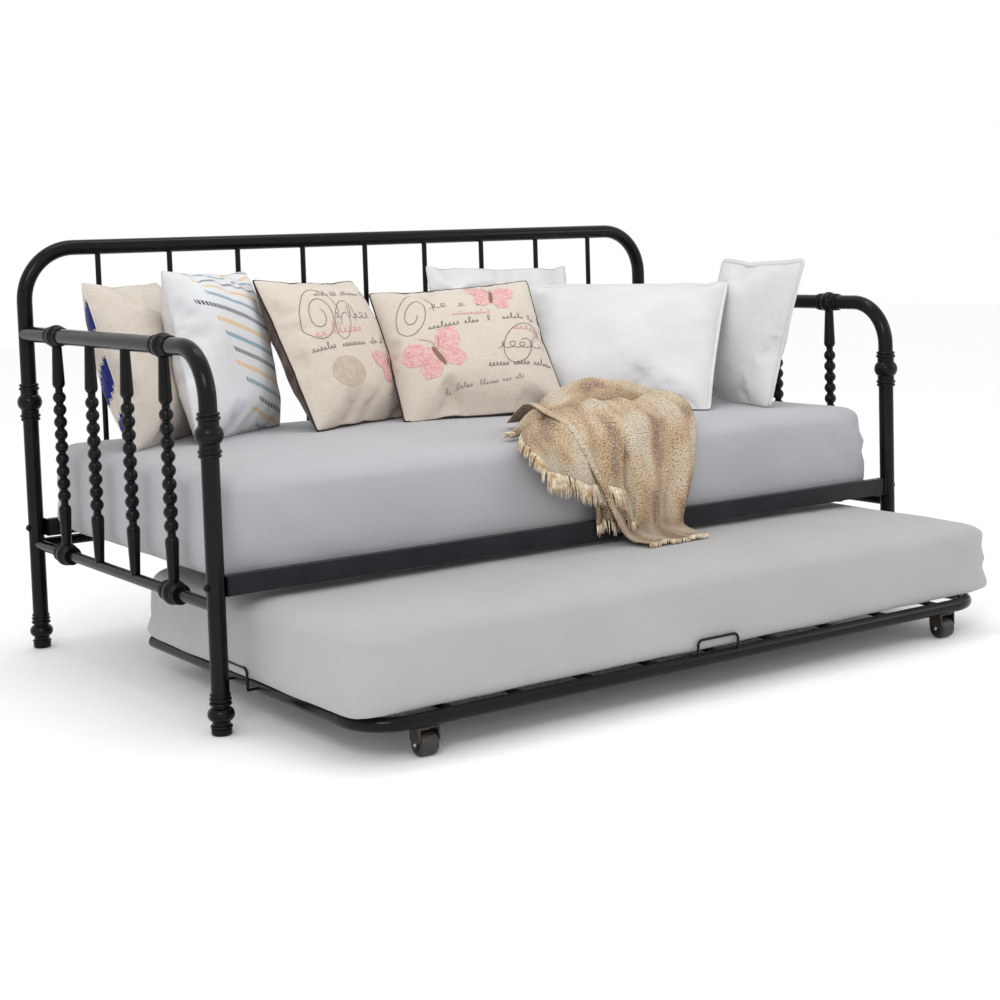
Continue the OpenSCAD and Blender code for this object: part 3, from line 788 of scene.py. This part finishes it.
    def refine(self):
        set_coords(self.obj, self.points)
        smooth = self.obj.modifiers.new("smooth", "SUBSURF")
        smooth.levels = 1
        smooth.render_levels = 1
        apply_modifiers(self.obj)
        self.points = coords(self.obj)

    def declare(self):
        set_coords(self.obj, self.points)
        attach(self.obj, "daybed")
        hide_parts(self.node)
        self.bvh = self.tree()

    def surface(self, x, z, lift):
        """The point of the front face over a place in the pillow's own plane, and its normal."""
        origin = self.place @ Vector((x, -0.4, z))
        way = (self.place.to_3x3() @ Vector((0, 1, 0))).normalized()
        hit, normal, _, _ = self.bvh.ray_cast(origin, way)
        if hit is None:
            return None
        if normal.dot(way) > 0:
            normal = -normal
        return hit + normal * lift, normal


NAVY = Pillow("cushion_navy", 42, 17, -2, (0.420, 0.400, 0.130), LINEN, NAVY_LINEN, "navy_print")
DASHED = Pillow("cushion_striped", 36, 12, -2, (0.430, 0.410, 0.130), STRIPED, WHITE, "striped_cotton")
SCRIPT = Pillow("cushion_script", 25, 28, -3, (0.430, 0.410, 0.130), PRINTED_LINEN, BROWN_LINEN,
                "printed_linen")
BUTTERFLY = Pillow("cushion_butterfly", -17, 37, 3, (0.460, 0.410, 0.130), PRINTED_LINEN, BROWN_LINEN,
                   "printed_linen")
BACK_PILLOW = Pillow("pillow_back", 13, 9, -2, (0.600, 0.330, 0.090), WHITE, WHITE, "white_cotton",
                     taller=1.22, fill=0.6)
LARGE_PILLOW = Pillow("pillow_large", -51, 43, -1, (0.600, 0.420, 0.130), WHITE, WHITE, "white_cotton",
                      plump=1.1, taller=1.13, flange=0.008)
RIGHT_PILLOW = Pillow("pillow_right", -100, 17, 0, (0.420, 0.400, 0.100), WHITE, WHITE, "white_cotton",
                      plump=0.95, taller=1.08, fill=0.6, flange=0.012)
PILLOWS = [NAVY, DASHED, SCRIPT, BUTTERFLY, BACK_PILLOW, LARGE_PILLOW, RIGHT_PILLOW]
TOUCHING = [(NAVY, DASHED), (SCRIPT, BUTTERFLY), (BUTTERFLY, BACK_PILLOW), (BUTTERFLY, LARGE_PILLOW),
            (BACK_PILLOW, LARGE_PILLOW), (LARGE_PILLOW, RIGHT_PILLOW), (DASHED, SCRIPT)]


def settle_pillows():
    bed_tree = BVHTree.FromPolygons([v.co.copy() for v in upper.data.vertices],
                                    [tuple(p.vertices) for p in upper.data.polygons])
    for number, pillow in enumerate(PILLOWS):
        pillow.build(number + 1)
    for _ in range(3):
        for one, two in TOUCHING:
            one.keep_clear(two, 0.5)
            two.keep_clear(one, 0.5)
    for pillow in PILLOWS:
        pillow.settle(bed_tree)
        pillow.refine()
    for one, two in TOUCHING:
        two.keep_clear(one, 1.0)
    for pillow in PILLOWS:
        pillow.settle(bed_tree)
        pillow.declare()


settle_pillows()


def seam_cord(pillow, radius, material):
    """Piping along the rim of a case."""
    loop = [pillow.points[k] for k in pillow.rim]
    obj = loop_tube(pillow.node + "_piping", loop, radius, material, 8)
    obj.parent = pillow.obj


def flange(pillow, material):
    """The flat double edge that stands out from the seam of a white case."""
    loop = [Vector(pillow.points[k]) for k in pillow.rim]
    count = len(loop)
    thickness = (pillow.place.to_3x3() @ Vector((0, 1, 0))).normalized()
    middle = sum(loop, Vector()) / count
    ring = []
    for k in range(count):
        along = (loop[(k + 1) % count] - loop[k - 1]).normalized()
        out = along.cross(thickness).normalized()
        if out.dot(loop[k] - middle) < 0:
            out = -out
        sway = 0.15 * noise.noise(Vector((k * 0.13, pillow.flange * 100, 0.5)))
        ring.append((out + thickness * sway).normalized())
    verts = []
    for k in range(count):
        tip = loop[k] + ring[k] * pillow.flange
        if tip.z < MATTRESS_TOP + 0.003:
            tip.z = MATTRESS_TOP + 0.003
        for base, lift in ((loop[k] - ring[k] * 0.004, 0.0022), (tip, 0.0008)):
            verts.append(base + thickness * lift)
            verts.append(base - thickness * lift)
    faces = []
    for k in range(count):
        a, b = 4 * k, 4 * ((k + 1) % count)
        for s, t in ((0, 2), (2, 3), (3, 1), (1, 0)):
            faces.append((a + s, b + s, b + t, a + t))
    obj = mesh_from(pillow.node + "_flange", verts, faces)
    obj.data.materials.append(material)
    obj.parent = pillow.obj


seam_cord(NAVY, 0.0016, PALE_PIPING)
seam_cord(DASHED, 0.0016, WHITE_PIPING)
seam_cord(SCRIPT, 0.0024, DARK_PIPING)
seam_cord(BUTTERFLY, 0.0026, DARK_PIPING)
seam_cord(BACK_PILLOW, 0.0016, WHITE_PIPING)
flange(LARGE_PILLOW, WHITE)
flange(RIGHT_PILLOW, WHITE)


# ---------------------------------------------------------------- printed motifs

PRINT_LIFT = 0.0009    # how far the ink stands off the cloth
PRINT_STEP = 0.004


def resample(points, step):
    out = [points[0]]
    for a, b in zip(points, points[1:]):
        length = math.dist(a, b)
        pieces = max(1, math.ceil(length / step))
        out += [(a[0] + (b[0] - a[0]) * k / pieces, a[1] + (b[1] - a[1]) * k / pieces)
                for k in range(1, pieces + 1)]
    return out


def ribbon(pillow, points, width, lift=PRINT_LIFT):
    """Vertices and faces of a thin printed stroke that follows the cushion's face."""
    spots = []
    for x, z in resample(points, PRINT_STEP):
        found = pillow.surface(x, z, lift)
        if found:
            spots.append(found)
    verts = []
    faces = []
    for k, (spot, normal) in enumerate(spots):
        along = spots[min(k + 1, len(spots) - 1)][0] - spots[max(k - 1, 0)][0]
        if along.length < 1e-6:
            along = Vector((1, 0, 0))
        side = normal.cross(along.normalized())
        taper = min(1.0, 0.35 + 0.25 * min(k, len(spots) - 1 - k))
        verts += [spot - side * width * taper / 2, spot + side * width * taper / 2]
        if k:
            faces.append((2 * k - 2, 2 * k, 2 * k + 1, 2 * k - 1))
    return verts, faces


def patch(pillow, outline, lift, rings=4):
    """Vertices and faces of a filled printed shape; outline runs round its own middle."""
    cx = sum(p[0] for p in outline) / len(outline)
    cz = sum(p[1] for p in outline) / len(outline)
    verts = []
    for ring in range(rings + 1):
        share = ring / rings
        for x, z in outline:
            found = pillow.surface(cx + (x - cx) * share, cz + (z - cz) * share, lift)
            verts.append(found[0] if found else pillow.place @ Vector((x, 0, z)))
    count = len(outline)
    faces = []
    for ring in range(rings):
        for k in range(count):
            n = (k + 1) % count
            quad = (ring * count + k, ring * count + n, (ring + 1) * count + n, (ring + 1) * count + k)
            faces.append(quad)
    return verts, faces


def print_on(pillow, name, material, parts):
    """Joins the strokes and patches of one ink into one piece."""
    obj = mesh_from(pillow.node + "_" + name, *join(parts))
    mesh = bmesh.new()
    mesh.from_mesh(obj.data)
    bmesh.ops.remove_doubles(mesh, verts=mesh.verts, dist=1e-6)
    mesh.to_mesh(obj.data)
    mesh.free()
    obj.data.materials.append(material)
    obj.parent = pillow.obj


def scribble(x0, z0, length, height, pitch, seed, rise=0.0):
    """Strokes of running loops of uneven height: no letters, only a hand's rhythm."""
    rng = random.Random(seed)
    strokes = [[]]
    cycles = int(length / pitch)
    for cycle in range(cycles):
        tall = height * rng.choice((0.45, 0.55, 0.6, 1.3))
        lean = rng.uniform(0.3, 0.55)
        if rng.random() < 0.2:
            strokes.append([])
            continue
        for k in range(9):
            phase = 2 * math.pi * k / 8
            x = x0 + pitch * (cycle + k / 8) + pitch * lean * math.sin(phase)
            z = z0 + rise * (cycle + k / 8) / cycles + tall * (1 - math.cos(phase)) / 2
            strokes[-1].append((x + 0.25 * (z - z0), z))
    return [stroke for stroke in strokes if stroke]


def writing(pillow, strokes, width):
    """Vertices and faces of several printed strokes."""
    return join([ribbon(pillow, stroke, width) for stroke in strokes])


def flourish(cx, cz, radius, turns, squash, lean=0.3):
    """A loose pen spiral."""
    points = []
    steps = int(26 * turns)
    for k in range(steps + 1):
        share = k / steps
        angle = 2 * math.pi * turns * share
        r = radius * (1 - 0.8 * share)
        x, z = r * math.cos(angle), squash * r * math.sin(angle)
        points.append((cx + x + lean * z, cz + z))
    return points


def wing(cx, cz, reach, breadth, angle):
    """Outline of one wing, from the body outwards."""
    points = []
    for k in range(28):
        t = 2 * math.pi * k / 28
        along = reach * (0.5 - 0.5 * math.cos(t))
        across = breadth * math.sin(t) * (0.35 + 0.65 * (0.5 - 0.5 * math.cos(t)) ** 0.8)
        notch = 1 - 0.06 * math.cos(5 * t)
        x, z = along * notch, across
        points.append((cx + x * math.cos(angle) - z * math.sin(angle),
                       cz + x * math.sin(angle) + z * math.cos(angle)))
    return points


def butterfly(pillow, name, cx, cz, span, tilt):
    """Four speckled wings, a slim body and two feelers."""
    lift = 0.0011
    wings = []
    veins = []
    for side in (-1, 1):
        for rise, reach, breadth in ((0.62, 0.60, 0.26), (-0.55, 0.42, 0.22)):
            angle = rise + tilt if side > 0 else math.pi - rise + tilt
            wings.append(patch(pillow, wing(cx, cz, span * reach, span * breadth, angle), lift))
            for spread in (-0.22, 0.0, 0.22):
                far = (cx + span * reach * 0.86 * math.cos(angle + spread),
                       cz + span * reach * 0.86 * math.sin(angle + spread))
                veins.append(ribbon(pillow, [(cx, cz), far], 0.0011, lift + 0.0006))
    print_on(pillow, name + "_wings", WING_PINK, wings)
    body = [(cx + 0.028 * span * math.cos(t) * 1.6 - math.sin(tilt) * 0.2 * span * math.sin(t),
             cz + math.cos(tilt) * 0.2 * span * math.sin(t)) for t in [2 * math.pi * k / 16 for k in range(16)]]
    marks = [patch(pillow, body, lift + 0.001, 2)]
    for side in (-1, 1):
        tip = (cx + side * 0.16 * span - 0.3 * span * math.sin(tilt), cz + 0.38 * span)
        marks.append(ribbon(pillow, [(cx, cz + 0.1 * span), (cx + side * 0.06 * span, cz + 0.28 * span), tip],
                            0.0013, lift + 0.001))
    print_on(pillow, name + "_body", INK_BROWN, marks)
    print_on(pillow, name + "_veins", INK_WHITE, veins)


def speckled(name, base, gap, scale):
    """Print ink broken up by a network of pale lines."""
    g = Graph(name)
    where = g.coord()
    inputs = {"Vector": where, "Scale": scale}
    cells = g.node("ShaderNodeTexVoronoi", inputs, feature="DISTANCE_TO_EDGE").outputs[0]
    colour = g.mix(g.map_range(cells, 0.04, 0.16, 1.0, 0.0), base, gap)
    cloud = g.noise(where, 60, 3)
    colour = g.mix(g.map_range(cloud, 0.4, 0.7, 0.0, 0.6), colour, gap)
    return g.finish(color=colour, rough=g.map_range(cloud, 0.3, 0.7, 0.8, 0.95), specular=0.2,
                    normal=g.bump(cells, 0.2, 0.0006))


WING_PINK = speckled("wing_pink", (0.60, 0.17, 0.21), (0.74, 0.55, 0.50), 210)
INK_WHITE = plain_thread("pale_print", (0.70, 0.55, 0.50), (0.75, 0.62, 0.56))
SMUDGE = speckled("brown_smudge", (0.36, 0.27, 0.20), (0.62, 0.53, 0.44), 420)


def decorate_script():
    """Pen loops, a speckled disc, fine arcs and one butterfly."""
    p = SCRIPT
    grey = [ribbon(p, flourish(-0.10, 0.085, 0.075, 2.2, 1.2), 0.0017),
            ribbon(p, flourish(-0.02, 0.060, 0.050, 1.6, 1.5, 0.5), 0.0015),
            writing(p, scribble(-0.10, 0.145, 0.27, 0.012, 0.010, 3), 0.0013),
            writing(p, scribble(-0.05, 0.072, 0.21, 0.030, 0.026, 4), 0.0015),
            writing(p, scribble(-0.17, -0.012, 0.34, 0.015, 0.011, 5, 0.012), 0.0015)]
    for k in range(6):
        reach = 0.060 + 0.012 * k
        arc = [(0.06 + reach * math.cos(t), -0.085 + reach * math.sin(t))
               for t in [math.radians(a) for a in range(-80, 6, 6)]]
        grey.append(ribbon(p, arc, 0.0009))
    print_on(p, "strokes", INK_GREY, grey)
    pink = [writing(p, scribble(-0.15, 0.025, 0.20, 0.026, 0.021, 6, 0.01), 0.0023)]
    print_on(p, "pink_strokes", INK_PINK, pink)
    disc = [(-0.075 + 0.058 * math.cos(t), -0.075 + 0.042 * math.sin(t)) for t in
            [2 * math.pi * k / 24 for k in range(24)]]
    print_on(p, "smudge", SMUDGE, [patch(p, disc, 0.0008)])
    butterfly(p, "motif", 0.105, -0.070, 0.120, 0.15)


def decorate_butterfly():
    """Pen loops and two butterflies."""
    p = BUTTERFLY
    grey = [ribbon(p, flourish(-0.145, 0.100, 0.055, 2.0, 1.6), 0.0017),
            writing(p, scribble(-0.10, 0.112, 0.16, 0.030, 0.026, 13), 0.0015),
            writing(p, scribble(-0.12, 0.045, 0.31, 0.015, 0.011, 14, 0.02), 0.0016),
            ribbon(p, flourish(0.125, -0.030, 0.075, 1.3, 1.2, 0.4), 0.0017),
            writing(p, scribble(0.055, -0.035, 0.14, 0.036, 0.028, 15), 0.0016),
            writing(p, scribble(0.015, -0.085, 0.19, 0.015, 0.010, 16), 0.0016),
            writing(p, scribble(-0.11, -0.135, 0.22, 0.010, 0.009, 17, 0.012), 0.0010)]
    print_on(p, "strokes", INK_GREY, grey)
    pink = [writing(p, scribble(-0.045, 0.082, 0.11, 0.010, 0.010, 18), 0.0016),
            writing(p, scribble(0.115, 0.025, 0.09, 0.018, 0.016, 19), 0.0021)]
    print_on(p, "pink_strokes", INK_PINK, pink)
    butterfly(p, "large_motif", -0.110, -0.040, 0.165, 0.35)
    butterfly(p, "small_motif", 0.085, 0.140, 0.125, -0.25)


decorate_script()
decorate_butterfly()


# ---------------------------------------------------------------- throw

def smooth_row(rows, t):
    """The values between two rows of a table, eased in and out."""
    place = min(max(t, 0.0), 0.999999) * (len(rows) - 1)
    k = int(place)
    share = place - k
    before, here = rows[max(k - 1, 0)], rows[k]
    there, after = rows[k + 1], rows[min(k + 2, len(rows) - 1)]
    return [0.5 * (2 * b + (c - a) * share + (2 * a - 5 * b + 4 * c - d) * share ** 2
                   + (3 * b - a - 3 * c + d) * share ** 3)
            for a, b, c, d in zip(before, here, there, after)]


# Rows of the hanging cloth from its tail on the mattress to its hem: left end, right end, forward
# reach from the middle of the bed, height, and depth of the folds, in metres.
FALL_ROWS = [(-0.030, 0.340, 0.185, 0.530, 0.003), (-0.080, 0.360, 0.290, 0.560, 0.006),
             (-0.090, 0.365, 0.360, 0.585, 0.008), (-0.090, 0.350, 0.440, 0.566, 0.011),
             (-0.060, 0.320, 0.492, 0.536, 0.014), (-0.030, 0.295, 0.512, 0.470, 0.017),
             (0.000, 0.270, 0.530, 0.395, 0.019), (0.020, 0.245, 0.542, 0.330, 0.019),
             (0.035, 0.240, 0.552, 0.292, 0.014), (0.045, 0.250, 0.592, 0.2780, 0.004),
             (0.050, 0.255, 0.628, 0.2760, 0.002)]
FLAP_ROWS = [(-0.090, 0.100, 0.345, 0.600, 0.003), (-0.130, 0.100, 0.420, 0.584, 0.006),
             (-0.185, 0.095, 0.498, 0.550, 0.009), (-0.190, 0.085, 0.528, 0.505, 0.012),
             (-0.175, 0.075, 0.540, 0.462, 0.013)]
UNDER_ROWS = [(-0.090, 0.130, 0.480, 0.533, 0.004), (-0.075, 0.120, 0.508, 0.480, 0.009),
              (-0.045, 0.110, 0.522, 0.410, 0.013), (-0.010, 0.105, 0.532, 0.325, 0.013)]
FLAP_SLANT = 0.075    # how much lower the right end of the flap's hem hangs
FLAP_SINK = 0.06      # how far the left end of its upper edge sinks onto the mattress
FOLD_DEPTH = 1.35
FALL_START = 0.470    # forward reach at which the cloth leaves the mattress
HEM_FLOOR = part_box("trundle_mattress")[1].z + 0.008


def fold(s, t, seed):
    """Height of the cloth's folds across its width, from -1 to 1."""
    wander = 0.05 * noise.noise(Vector((t * 2, seed, 0.3)))
    broad = math.sin(2 * math.pi * (2.2 * (s + wander) + 0.10 * seed + 0.12 * t))
    small = math.sin(2 * math.pi * (4.7 * s - 0.35 * t + 0.37 * seed))
    rough = noise.noise(Vector((s * 7, t * 3.5, seed * 3.1)))
    valley = math.exp(-((s - 0.20 - 0.06 * t) / 0.045) ** 2)
    return 0.55 * broad + 0.25 * small + 0.5 * rough - 0.9 * valley * (seed == 1)


def cloth_layer(rows, across, down, seed, hem_dip):
    """The points of one hanging layer, row by row from its top to its hem."""
    points = []
    for j in range(down + 1):
        t = j / down
        for i in range(across + 1):
            s = i / across
            dip = hem_dip * noise.noise(Vector((s * 4, seed, 1.5))) * t ** 3
            left, right, forward, height, depth = smooth_row(rows, t)
            lift = FOLD_DEPTH * fold(s, t, seed) * depth
            over_edge = min(1.0, max(0.0, (0.56 - height) / 0.06))
            ends = 0.012 * math.sin(t * 7 + seed) * (1 - 2 * s)
            slant = FLAP_SLANT * s * t ** 2 + FLAP_SINK * (1 - s) ** 4 * (1 - t) if seed == 2 else 0.0
            low = MATTRESS_TOP if forward < FALL_START else HEM_FLOOR
            points.append(Vector((left + (right - left) * s + ends + 0.25 * depth * math.cos(9 * s),
                                  BED_Y - forward - lift * over_edge,
                                  max(height + dip - slant + lift * (1 - over_edge), low + 0.003))))
    return points


def grid_faces(across, down, base):
    wide = across + 1
    firsts = [base + j * wide + i for j in range(down) for i in range(across)]
    return [(k, k + 1, k + wide + 1, k + wide) for k in firsts]


def roll_layer(across, around):
    """The bunched ridge: a loose open roll that runs from a thin tip over the hump to its open end."""
    spine = [(-0.155, 0.405, 0.531, 0.007), (-0.080, 0.395, 0.560, 0.022), (0.010, 0.365, 0.585, 0.030),
             (0.110, 0.335, 0.602, 0.034), (0.220, 0.320, 0.592, 0.034), (0.320, 0.325, 0.568, 0.031),
             (0.395, 0.345, 0.552, 0.026)]
    points = []
    for i in range(across + 1):
        x, forward, height, radius = smooth_row(spine, i / across)
        for j in range(around + 1):
            angle = math.radians(-160 + 330 * j / around)
            wobble = 1 + 0.22 * noise.noise(Vector((i * 0.13, math.cos(angle) * 1.4, math.sin(angle) * 1.4)))
            r = radius * wobble
            z = max(height + r * math.sin(angle), MATTRESS_TOP + 0.004)
            y = BED_Y - forward - r * 1.25 * math.cos(angle)
            points.append(Vector((x + 0.3 * r * math.cos(angle), y, z)))
    return points


def strand(root, length, rng, spread, hang=True):
    """One yarn of the fringe, which leaves the hem and then hangs."""
    sides = 5
    steps = 5
    radius = 0.0011
    drift = Vector((rng.uniform(-0.35, 0.35), rng.uniform(-0.25, 0.1), 0))
    start = (spread + drift * 0.5).normalized()
    down = Vector((drift.x * 0.5, drift.y * 0.5, -1)).normalized() if hang else start
    verts = []
    faces = []
    spot = root.copy()
    for k in range(steps + 1):
        share = k / steps
        way = (start * (1 - share) + down * share).normalized()
        a = way.orthogonal().normalized()
        b = way.cross(a)
        r = radius * (1 - 0.35 * share)
        for s in range(sides):
            angle = 2 * math.pi * s / sides
            verts.append(spot + (a * math.cos(angle) + b * math.sin(angle)) * r)
        spot = spot + way * length / steps
    for k in range(steps):
        for s in range(sides):
            t = (s + 1) % sides
            faces.append((k * sides + s, k * sides + t, (k + 1) * sides + t, (k + 1) * sides + s))
    faces.append(tuple(range(sides))[::-1])
    faces.append(tuple(steps * sides + s for s in range(sides)))
    return verts, faces


THROW_THICKNESS = 0.0026
FRINGE_SEED = 41


def throw_layers():
    """The four folded layers: points, cells across and down, width and length of the cloth laid flat."""
    return [(cloth_layer(FALL_ROWS, 72, 96, 1, 0.012), 72, 96, 0.46, 0.60),
            (cloth_layer(FLAP_ROWS, 48, 48, 2, 0.02), 48, 48, 0.32, 0.24),
            (cloth_layer(UNDER_ROWS, 40, 36, 3, 0.02), 40, 36, 0.26, 0.28),
            (roll_layer(60, 30), 30, 60, 0.22, 0.62)]


def throw_cloth(layers):
    """The layers as one thick cloth, and the area of its middle surface."""
    verts = []
    faces = []
    flat = []
    for number, (points, across, down, wide, long) in enumerate(layers):
        faces += grid_faces(across, down, len(verts))
        verts += points
        flat += [(i / across * wide + number, j / down * long)
                 for j in range(down + 1) for i in range(across + 1)]
    obj = mesh_from("throw_cloth", verts, faces)
    uv = obj.data.uv_layers.new(name="cloth")
    loops = np.zeros(len(obj.data.loops), dtype=int)
    obj.data.loops.foreach_get("vertex_index", loops)
    uv.data.foreach_set("uv", np.array(flat)[loops].ravel())
    obj.data.materials.append(THROW_WEAVE)
    area = sum(p.area for p in obj.data.polygons)
    thick = obj.modifiers.new("thickness", "SOLIDIFY")
    thick.thickness = THROW_THICKNESS
    thick.offset = 0
    apply_modifiers(obj)
    return obj, area


def throw_fringe(layers):
    """Yarns along three hems, the flap's left edge and the open end of the roll."""
    rng = random.Random(FRINGE_SEED)
    strands = []

    def along_hem(layer, count, length, spread):
        points, across, down = layer[:3]
        row = down * (across + 1)
        for _ in range(count):
            place = rng.uniform(0, across - 0.001)
            k = row + int(place)
            root = points[k].lerp(points[k + 1], place - int(place))
            strands.append(strand(root, length * rng.uniform(0.6, 1.1), rng, spread))

    fall, flap, under, roll = layers
    along_hem(flap, 260, 0.052, Vector((0, -0.4, -1)))
    along_hem(under, 130, 0.030, Vector((0, -0.3, -1)))
    along_hem(fall, 170, 0.010, Vector((0, -0.3, -1)))
    edge = flap[0][::flap[1] + 1]
    for _ in range(120):
        row = rng.uniform(14, 47)
        k = int(row)
        root = edge[k].lerp(edge[k + 1], row - k)
        strands.append(strand(root, 0.034 * rng.uniform(0.5, 1.1), rng, Vector((-0.8, -0.3, -0.6))))
    for _ in range(60):
        root = roll[0][rng.randrange(roll[1] + 1)]
        strands.append(strand(root, 0.030 * rng.uniform(0.5, 1.1), rng, Vector((-1, -0.3, 0.0)), hang=False))
    fringe = mesh_from("throw_fringe", *join(strands))
    fringe.data.materials.append(FRINGE_YARN)
    return fringe


def make_throw():
    layers = throw_layers()
    obj, area = throw_cloth(layers)
    fringe = throw_fringe(layers)
    for piece in (obj, fringe):
        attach(piece, "daybed")
    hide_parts("throw")


make_throw()
make_camera()
make_studio()
